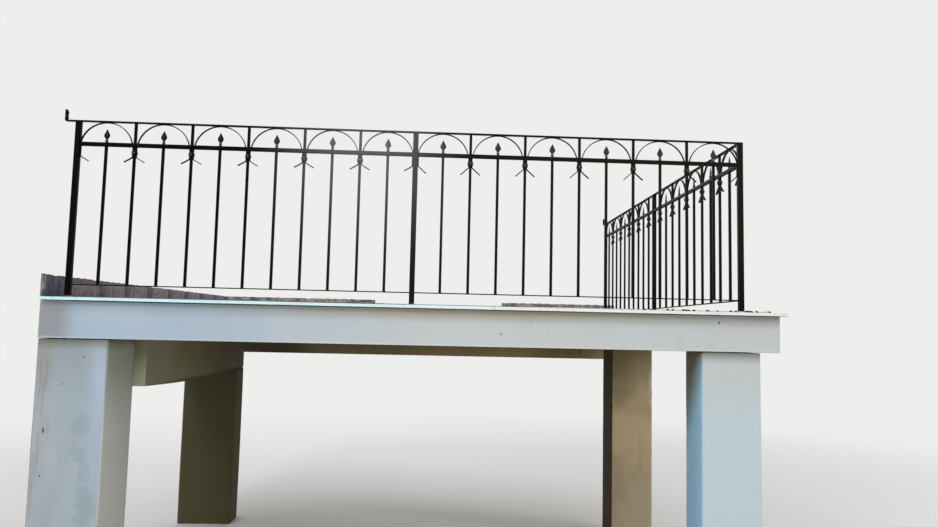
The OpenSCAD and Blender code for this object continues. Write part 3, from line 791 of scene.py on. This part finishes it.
def turned(profile, foot, sides, ways=(X, Y, Z), phase=0.0):
    """Surface of revolution: the profile (radius, height) swept round the last of three ways,
    which starts at the foot."""
    angle = np.linspace(0, 2 * np.pi, sides, endpoint=False) + phase
    radius, height = np.asarray(profile, float).T
    circles = points_at(np.cos(angle), np.sin(angle))[None] * radius[:, None, None]
    return carry(circles, np.asarray(foot) + np.outer(height, ways[2]), *ways[:2])


def dome(foot, radius, rise, ways=(X, Y, Z)):
    """Rivet head: rings of radius r cos t at height h sin t, from a flat foot to its crown."""
    t = np.linspace(0, np.pi / 2, 5)
    profile = points_at(np.maximum(radius * np.cos(t), RIVET_CROWN), rise * np.sin(t))
    return turned(profile, foot, 12, ways)


for joint in JOINTS:
    (spot, _), (out, _) = sheet_path(joint + LAP / 2, joint + LAP / 2)
    side = np.cross(out, Z)
    mid_face = spot + out * (DRIP_OUT - FACE_SUNK) + Z * (drip_foot + drip_top) / 2
    rivets.append(dome(mid_face, RIVET_R, RIVET_H, (side, Z, out)))
    on_top = spot - out * RIVET_IN + Z * (drip_top - RIVET_SUNK)
    rivets.append(dome(on_top, RIVET_R, RIVET_H, (side, out, Z)))
for station in np.arange(NAIL_FROM, edge_end, NAIL_PITCH):
    (spot, _), (out, _) = sheet_path(station, station)
    rivets.append(dome(spot + Z * (drip_top - NAIL_SUNK) - out * NAIL_IN, NAIL_R, NAIL_H))
sheet = material("painted_sheet")
x, y, z = sheet.axes
sheet.colour = sheet.mix((206, 244, 252), (243, 251, 247), x.step(-1.3, 0.7))
weathered = sheet.noise(6, 5, (1, 1, 4))
sheet.lay((190, 204, 203), weathered.step(0.5, 0.7) * 0.25)
soil = sheet.noise(34, 4).step(0.6, 0.72)
sheet.lay((112, 108, 96), soil * 0.45)
# Painted shadow: darker along the sheet's hem, under the lip.
shadow_at_hem = (z + sheet.noise(60, 3) * 0.003).step(drip_foot + 0.0045, drip_foot + 0.001)
sheet.lay((78, 92, 84), shadow_at_hem * 0.75)
sheet.relief = sheet.noise(30, 3) + soil * 0.2
sheet_paint = sheet.close(weathered * 0.3 + 0.3, 0.0008)
fit("drip_flashing_sheets", sheets, sheet_paint, "flashing_sheet", "front_flashing", "right_flashing")
fit("flashing_rivets", rivets, sheet_paint, "flashing_sheet")


# Posts: five lengths of square hollow section set in the deck, which carry the rails. Each is
# welded shut under the rail, bedded in a ring of dark sealant, and brush-painted with the rest.
first = middle("left_post")
half_bay = (corner.x - first.x) / 24
POST_W, POST_EDGE, WELD_REACH, WELD_ROW = 0.03, 0.0035, 0.03, 0.006
WANDER, WANDER_SIZE, SEALANT_LUMP, SEALANT_LUMP_SIZE = 0.0006, 0.31, 0.05, 0.012
# height and spread of the sealant round a post, in shares of its section
SEALANT = ((0.0, 1.36), (0.0005, 1.36), (0.003, 1.3), (0.005, 1.12), (0.007, 1.0))
rail_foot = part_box("left_post")[1].z - deck_top
along_front = placing((first.x, first.y, deck_top), X, -Y)
along_side = placing((corner.x, corner.y, deck_top), Y, X)


def placed(part, place):
    """The part with its points set into the frame by a run's placing."""
    return (place(part[0]), *part[1:])


def rounded(width, depth, radius, bends=2):
    """Rectangle with round corners: four quarter circles, each set in by its radius."""
    quarter = np.linspace(0, np.pi / 2, bends + 1)
    corners = []
    for k, (sign_a, sign_b) in enumerate(((1, 1), (-1, 1), (-1, -1), (1, -1))):
        angle = quarter + k * np.pi / 2
        a = sign_a * (width / 2 - radius) + radius * np.cos(angle)
        b = sign_b * (depth / 2 - radius) + radius * np.sin(angle)
        corners.append(points_at(a, b))
    return np.concatenate(corners)


def upright_bar(at, foot, head, section, step=0.08):
    """Straight bar carried up from foot to head at a place along the run, with the small
    sideways wander of a hand-set bar, and marked near its two ends where it is welded."""
    up = np.linspace(foot, head, max(2, round((head - foot) / step)) + 1)
    up = np.sort(np.concatenate([up, [foot + WELD_ROW, head - WELD_ROW]]))
    path = points_at(at, 0.0, up)
    wander = points_at(cloud(path + 3, WANDER_SIZE), cloud(path + 9, WANDER_SIZE)) - 0.5
    path[:, :2] += WANDER * wander
    points, faces = carry(section, path, X, Y)
    ends = np.minimum(points[:, 2] - foot, head - points[:, 2])
    return points, faces, 1 - ease(ends, 0.0, WELD_REACH)


def iron_paint(name, right_end, pitting, gloss, level, sheen):
    """Black oil paint on iron: blue-black at the left, a painted sheen in the middle, paler at
    the right, with brush marks, dust on what faces up, rust at welds and feet, and a painted
    highlight where the mark is high, on the fronts of collars and sockets."""
    paint = material(name)
    x, y, z = paint.axes
    paint.colour = paint.mix((5, 8, 14), right_end, x.step(-0.9, 0.9))
    # Painted sheen: grey over the middle of the run, most towards the top.
    painted_sheen = x.step(-1.05, -0.4) * x.step(0.3, -0.3)
    painted_sheen = painted_sheen * (z.step(deck_top + 0.2, deck_top + 0.9) * 0.75 + 0.15)
    paint.lay((110, 109, 108), painted_sheen * 0.9)
    paint.lay((10, 12, 12), z.step(deck_top + 0.5, deck_top + 0.1) * 0.5)
    worn = paint.noise(24, 4).step(0.56, 0.7)
    paint.lay((40, 38, 37), worn * 0.2)
    dust = paint.upward().step(0.5, 0.95) * paint.noise(40, 4).step(0.3, 0.6)
    paint.lay((96, 94, 88), dust * 0.5)
    foot = z.step(deck_top + 0.05, deck_top + 0.005)
    rust = (paint.noise(150, 5) + paint.mark() * 0.2 + foot * 0.16).step(0.83, 0.91)
    paint.lay(paint.mix((84, 50, 32), (52, 33, 25), paint.noise(220, 3)), rust * 0.8)
    # Painted highlight: pale grey where the mark is high, on the fronts of collars and sockets.
    paint.lay((150, 153, 158), paint.mark().step(1.1, 2) * 0.75)
    paint.relief = paint.noise(30, 2, (1, 1, 0.2)) * 0.4
    paint.relief = paint.relief + paint.noise(260, 3) * pitting + rust * 0.2
    return paint.close(rust * 0.35 + dust * 0.25 + worn * 0.1 + gloss, 0.0004, level, sheen)


bar_paint = iron_paint("black_oil_paint", (30, 30, 24), 0.15, 0.52, 0.1, 140)
post_section = rounded(POST_W, POST_W, POST_EDGE, 3)
tar = material("dark_sealant")
tar.colour = tar.mix((52, 50, 48), (96, 92, 86), tar.noise(90, 3))
tar.relief = tar.noise(150, 3)
sealant = tar.close(0.7, 0.002)
POSTS = (
    ("left_post", along_front, 0),
    ("front_middle_post", along_front, 12),
    ("corner_post", along_front, 24),
    ("side_middle_post", along_side, 11),
    ("rear_post", along_side, 22),
)
rings = []
for node, place, station in POSTS:
    at = station * half_bay
    shaft = upright_bar(at, 0.0, rail_foot, post_section, 0.05)
    fit(node + "_tube", [placed(shaft, place)], bar_paint, "wrought_iron_paint", node)
    up, spread = np.array(SEALANT).T
    sections = post_section[None] * spread[:, None, None]
    points, faces = carry(sections, points_at(at, 0.0, up), X, Y)
    swell = 1 + SEALANT_LUMP * (cloud(points, SEALANT_LUMP_SIZE) - 0.5)
    centre = np.array([at, 0, 0])
    points = centre + (points - centre) * points_at(swell, swell, 1.0)
    rings.append(placed((points, faces), place))
fit("post_foot_sealant", rings, sealant, "wrought_iron_paint")


# Bars: square iron bars that stand on a flat bottom rail. The tall ones run up to the top
# rail and the short ones end on the middle rail under a spear. Each is welded all round.
BAR_W, BAR_EDGE = 0.015, 0.0016
RAIL_W, LOW_RAIL_T, LOW_RAIL_EDGE, LOW_RAIL_MID = 0.03, 0.005, 0.0012, 0.068
# radius and height of a weld bead
WELD = ((0.005, 0.0), (0.0103, 0.0), (0.0101, 0.001), (0.009, 0.0026), (0.005, 0.0036))
WELD_LUMP, WELD_LUMP_SIZE, WELD_RUST = 0.22, 0.0045, 0.9
mid_foot, mid_head = (edge.z - deck_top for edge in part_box("front_left_mid_rail"))
PANELS = (
    ("front_left", along_front, 0, 12),
    ("front_right", along_front, 12, 24),
    ("side_front", along_side, 0, 11),
    ("side_rear", along_side, 11, 22),
)
bar_section = rounded(BAR_W, BAR_W, BAR_EDGE)


def weld(at, height, down=1):
    """Lumpy bead of weld metal round a bar where it meets a rail, over or under the rail."""
    points, faces = turned([(r, z * down) for r, z in WELD], (at, 0, height), 16)
    centre = np.array([at, 0, height])
    swell = 1 + WELD_LUMP * (cloud(points, WELD_LUMP_SIZE) - 0.5)
    return centre + (points - centre) * swell[:, None], faces, WELD_RUST


def inside(first_post, last_post, odd):
    """Places along the run of the bars between two posts, of the tall or of the short kind."""
    stations = np.arange(first_post + 1, last_post)
    return stations[stations % 2 == odd] * half_bay


def level_bar(start, stop, height, section, rows):
    """Bar at one height from post to post, and where its ends are along the run."""
    ends = start * half_bay + POST_W / 2, stop * half_bay - POST_W / 2
    return carry(section, points_at(np.linspace(*ends, rows), 0.0, height), Y, Z), ends


def fit_panel(name, place, kind, parts, node, finish=bar_paint, slot="wrought_iron_paint"):
    """One piece of a panel, from parts in the coordinates of its run."""
    parts = [placed(part, place) for part in parts]
    fit(f"{name}_{kind}", parts, finish, slot, f"{name}_{node}")


low_rail_head = LOW_RAIL_MID + LOW_RAIL_T / 2
low_rail_section = rounded(RAIL_W, LOW_RAIL_T, LOW_RAIL_EDGE)
for name, place, start, stop in PANELS:
    parts = [level_bar(start, stop, LOW_RAIL_MID, low_rail_section, 24)[0]]
    welds = []
    for odd, head in ((0, rail_foot), (1, mid_head)):
        for at in inside(start, stop, odd):
            parts.append(upright_bar(at, low_rail_head, head, bar_section))
            welds += [weld(at, low_rail_head), weld(at, mid_foot, -1)]
            if not odd:
                welds += [weld(at, mid_head), weld(at, rail_foot, -1)]
    fit_panel(name, place, "square_bars", parts + welds, "bars")


# Middle rails: square bars punched at every station, so that the uprights pass through them.
# Their ends are welded to the posts.
MID_W, MID_EDGE, MID_WELD = 0.022, 0.002, 0.02
mid_centre, mid_section = (mid_foot + mid_head) / 2, rounded(MID_W, MID_W, MID_EDGE)
for name, place, start, stop in PANELS:
    (points, faces), (left, right) = level_bar(start, stop, mid_centre, mid_section, 60)
    away = np.minimum(points[:, 0] - left, right - points[:, 0])
    rail = (points, faces, 1 - ease(away, 0.0, MID_WELD))
    fit_panel(name, place, "punched_rail", [rail], "mid_rail")


# Arches: flat strip bent hot into a round arch over every spear. It stands beside the tall
# bars on the middle rail, touches the top rail, and comes out below as a tail that runs down
# the bar through the collar and then flares away from it.
STRIP_W, STRIP_T, STRIP_EDGE = 0.014, 0.005, 0.0012
ARCH_FOOT, TAIL_RUN, TAIL_OUT, TAIL_BEND, TUCKED = 0.016, 0.056, 0.046, 0.007, 0.004
TAIL_DROP_LEFT, TAIL_DROP, TAIL_STRAIGHT = 0.027, 0.041, 0.006
crown = rail_foot - STRIP_T / 2
arch_rise, arch_reach = crown - mid_head, half_bay - ARCH_FOOT
arch_radius = (arch_rise**2 + arch_reach**2) / (2 * arch_rise)
strip_section = rounded(STRIP_W, STRIP_T, STRIP_EDGE)


def bent_strip(along, up):
    """Strip carried along a line in the railing's plane: its width lies across the railing,
    and its thickness along the normal (-dz, dx) of the line."""
    path = points_at(along, 0.0, up)
    way = np.gradient(path, axis=0)
    way /= np.linalg.norm(way, axis=1)[:, None]
    return carry(strip_section, path, Y, points_at(-way[:, 2], 0.0, way[:, 0]))


def arch(at):
    """Circular arc over a spear, through its two feet and its crown."""
    rest = math.asin((arch_radius - arch_rise) / arch_radius)
    angle = np.linspace(np.pi - rest, rest, 33)
    middle_z = crown - arch_radius
    return bent_strip(at + arch_radius * np.cos(angle), middle_z + arch_radius * np.sin(angle))


def tail(face, side, drop):
    """Strip under the middle rail: straight down a bar's face, round a bend whose turn grows
    evenly, and straight out to a hammered end."""
    lean = math.atan2(drop, TAIL_OUT)
    angle = np.linspace(0, np.pi / 2 - lean, 8)
    bend = TAIL_BEND + STRIP_T
    bend_x, bend_z = bend * (1 - np.cos(angle)), -bend * np.sin(angle)
    left_over = (TAIL_OUT - bend_x[-1]) / math.cos(lean)
    out = np.linspace(0, left_over, 6)[1:]
    x = np.concatenate([[0.0, 0.0], bend_x, bend_x[-1] + out * math.cos(lean)])
    z = np.concatenate([[TAIL_RUN - TUCKED, TAIL_STRAIGHT], bend_z, bend_z[-1] - out * math.sin(lean)])
    return bent_strip(face + side * (x + STRIP_T / 2), mid_foot - TAIL_RUN + TUCKED + z)


for name, place, start, stop in PANELS:
    drop = TAIL_DROP_LEFT if name == "front_left" else TAIL_DROP
    parts = [arch(at) for at in inside(start, stop, 1)]
    tall = [(at, BAR_W / 2, (-1, 1)) for at in inside(start, stop, 0)]
    for post, side in ((start, 1), (stop, -1)):
        if post % 2 == 0:
            tall.append((post * half_bay, POST_W / 2, (side,)))
    for at, face, sides in tall:
        parts += [tail(at + side * face, side, drop) for side in sides]
    fit_panel(name, place, "arch_strips", parts, "arches")


# Collars: cast iron balls with three beaded rings, slipped over each tall bar and the two
# strip tails before the rails were closed, and held by the paint and a peened edge.
collar_low, collar_high = (edge.z - deck_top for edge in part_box("front_left_collars"))
COLLAR_R, COLLAR_H, COLLAR_BORE, COLLAR_SIDES = 0.0172, 0.034, 0.005, 28
BEAD, BEAD_PITCH, BEAD_W, LIP_DEPTH, LIP_RUN = 0.0018, 0.28, 0.0021, 0.004, 0.003
HIGHLIGHT_REACH, SHINE, FLATTENED = 0.0085, 2.2, 0.86
collar_z = np.linspace(-COLLAR_H / 2, COLLAR_H / 2, 41)
swollen = np.sqrt(COLLAR_R**2 - (FLATTENED * collar_z) ** 2)
ribs = sum(np.exp(-(((collar_z - k * COLLAR_H * BEAD_PITCH) / BEAD_W) ** 2)) for k in (-1, 0, 1))
lips = ease(np.abs(collar_z), COLLAR_H / 2 - LIP_RUN, COLLAR_H / 2)
collar_profile = points_at(swollen + BEAD * (ribs - 0.35) - LIP_DEPTH * lips, collar_z)
ends = [[COLLAR_BORE, collar_z[0]]], collar_profile, [[COLLAR_BORE, collar_z[-1]]]
collar_profile = np.concatenate(ends)
collar_paint = iron_paint("black_collar_iron", (38, 43, 44), 0.4, 0.32, 0.3, 150)


def painted_highlight_front(part, centre, crests):
    """Marks the part's outer side for a painted highlight: SHINE times e^(-(d / reach)^2)
    of the distance d from its middle, and most on the crests."""
    points, faces = part
    off = (points - centre) * (1, 0, 1)
    spot = np.exp(-((off**2).sum(axis=1)) / HIGHLIGHT_REACH**2) * (points[:, 1] > 0)
    return points, faces, SHINE * spot * (0.6 + 0.4 * crests)


crests = np.repeat(np.concatenate([[0], ribs, [0]]), COLLAR_SIDES)
for name, place, start, stop in PANELS:
    parts = []
    for at in inside(start, stop, 0):
        centre = np.array([at, 0, (collar_low + collar_high) / 2])
        # Each collar's front is marked for a painted highlight.
        parts.append(painted_highlight_front(turned(collar_profile, centre, COLLAR_SIDES), centre, crests))
    fit_panel(name, place, "beaded_collars", parts, "collars", collar_paint, "cast_iron_paint")


# Spear points: cast leaves with a ridge down each face and sharp flanks, on a round socket
# with a bead, pushed over the short bars' ends and pinned on the middle rail.
LEAF_W, LEAF_T, LEAF_H, LEAF_LOW, LEAF_TIP = 0.035, 0.012, 0.057, 0.34, 0.0003
SOCKET_R, SOCKET_H, BEAD_UP, SPEAR_SIDES = 0.0088, 0.022, 0.015, 24
t = np.concatenate([np.linspace(0, 0.5, 17), np.linspace(0.53, 0.985, 15), [1.0]])
swell = 0.42 + 0.58 * np.sin(np.pi / 2 * np.minimum(t / LEAF_LOW, 1))
taper = 1 - np.clip((t - LEAF_LOW) / (1 - LEAF_LOW), 0, 1) ** 1.2
half_width = np.maximum(LEAF_W / 2 * np.where(t < LEAF_LOW, swell, taper), LEAF_TIP)
thinning = (1 - 0.85 * t**1.6) * np.minimum(1, (1.02 - t) * 12)
half_depth = np.maximum(LEAF_T / 2 * thinning, LEAF_TIP)
around = np.linspace(0, 2 * np.pi, SPEAR_SIDES, endpoint=False)
flank = np.sign(np.cos(around)) * np.abs(np.cos(around)) ** 1.5
ridge = np.sign(np.sin(around)) * np.abs(np.sin(around)) ** 1.35
leaf_section = points_at(half_width[:, None] * flank, half_depth[:, None] * ridge)
# radius and height of the socket
SOCKET = (
    (0.006, 0.0), (SOCKET_R, 0.0), (SOCKET_R, 0.0012), (0.008, 0.0022), (0.008, 0.0125),
    (0.0082, 0.0135), (SOCKET_R, 0.0148), (0.009, 0.0162), (SOCKET_R, 0.0176),
    (0.0078, 0.0188), (0.0068, 0.0205), (0.0064, SOCKET_H), (0.005, SOCKET_H + 0.002),
)
spear_paint = iron_paint("black_spear_iron", (46, 58, 66), 0.4, 0.28, 0.35, 150)
on_bead = np.repeat([abs(height - BEAD_UP) < 0.003 for _, height in SOCKET], SPEAR_SIDES)
for name, place, start, stop in PANELS:
    parts = []
    for at in inside(start, stop, 1):
        socket = turned(SOCKET, (at, 0, mid_head), SPEAR_SIDES)
        # The socket's bead is marked for a painted highlight on its front.
        parts.append(painted_highlight_front(socket, np.array([at, 0, mid_head + BEAD_UP]), on_bead))
        stem = points_at(at, 0.0, mid_head + SOCKET_H + LEAF_H * t)
        parts.append(carry(leaf_section, stem, X, Y))
    fit_panel(name, place, "spear_points", parts, "spears", spear_paint, "cast_iron_paint")


# Top rails: flat iron laid on the posts, the tall bars and the crowns of the arches, mitred
# and welded over the corner post, with hand-rubbed edges.
TOP_T, TOP_EDGE, TOP_ROWS = 0.006, 0.0016, 60
rail_section = rounded(RAIL_W, TOP_T, TOP_EDGE)
rail_mid = deck_top + rail_foot + TOP_T / 2
corner_rail = np.array((corner.x, corner.y, rail_mid))


def mitred_rail(start, across_start):
    """Flat rail from its start to the corner, where its end is cut along the diagonal."""
    share = np.linspace(0, 1, TOP_ROWS)[:, None]
    path = np.array(start) * (1 - share) + corner_rail * share
    across = np.repeat(across_start[None], TOP_ROWS, axis=0)
    across[-1] = (1, -1, 0)
    return carry(rail_section, path, across, Z)


front_rail = mitred_rail((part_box("front_top_rail")[0].x, corner.y, rail_mid), -Y)
side_rail = mitred_rail((corner.x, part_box("side_top_rail")[1].y, rail_mid), X)
for node, rail in (("front_top_rail", front_rail), ("side_top_rail", side_rail)):
    fit(node + "_flat", [rail], bar_paint, "wrought_iron_paint", node)


# Wall plates: short upright plates welded to the rails' ends and bolted to the house walls
# with two hexagon bolts on washers each.
PLATE_W, PLATE_T, PLATE_CORNER, BOLT_TOP, BOLT_PITCH = 0.032, 0.006, 0.008, 0.018, 0.03
HEX_R, HEX_H, WASHER_R, WASHER_H, HEAD_EDGE, HEAD_TRIM = 0.0075, 0.0048, 0.0088, 0.0014, 0.0006, 0.9
BOLTS, BOLT_SUNK, BOLT_TURN, BOLT_RUST = 2, 0.001, 0.3, 0.8
# depth and size of the plate's sections, in shares of its thickness and outline
PLATE = ((-0.5, 1.0), (0.28, 1.0), (0.5, 0.965))
# radius, height, sides and seat of a washer and of a bolt's head
FIXINGS = ((WASHER_R, WASHER_H, 24, 0.0), (HEX_R, HEX_H, 6, WASHER_H))


def wall_plate(node, outward, across):
    """Plate, washers and bolts of one rail end; outward points from the wall to the rail."""
    low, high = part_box(node)
    centre, tall = np.array((low + high) / 2), high.z - low.z
    depth, size = np.array(PLATE).T
    sections = rounded(PLATE_W, tall, PLATE_CORNER, 4)[None] * size[:, None, None]
    parts = [carry(sections, centre + np.outer(depth * PLATE_T, outward), across, Z)]
    for k in range(BOLTS):
        base = centre + outward * PLATE_T / 2 + Z * (tall / 2 - BOLT_TOP - k * BOLT_PITCH)
        for radius, rise, sides, seat in FIXINGS:
            profile = [(radius, -BOLT_SUNK), (radius, rise - HEAD_EDGE), (radius * HEAD_TRIM, rise)]
            foot, ways = base + outward * seat, (across, Z, outward)
            head = turned(profile, foot, sides, ways, BOLT_TURN * (k + 1))
            parts.append((*head, BOLT_RUST))
    fit(node + "_bolted", parts, bar_paint, "wrought_iron_paint", node)


wall_plate("left_wall_plate", X, Y)
wall_plate("rear_wall_plate", -Y, X)
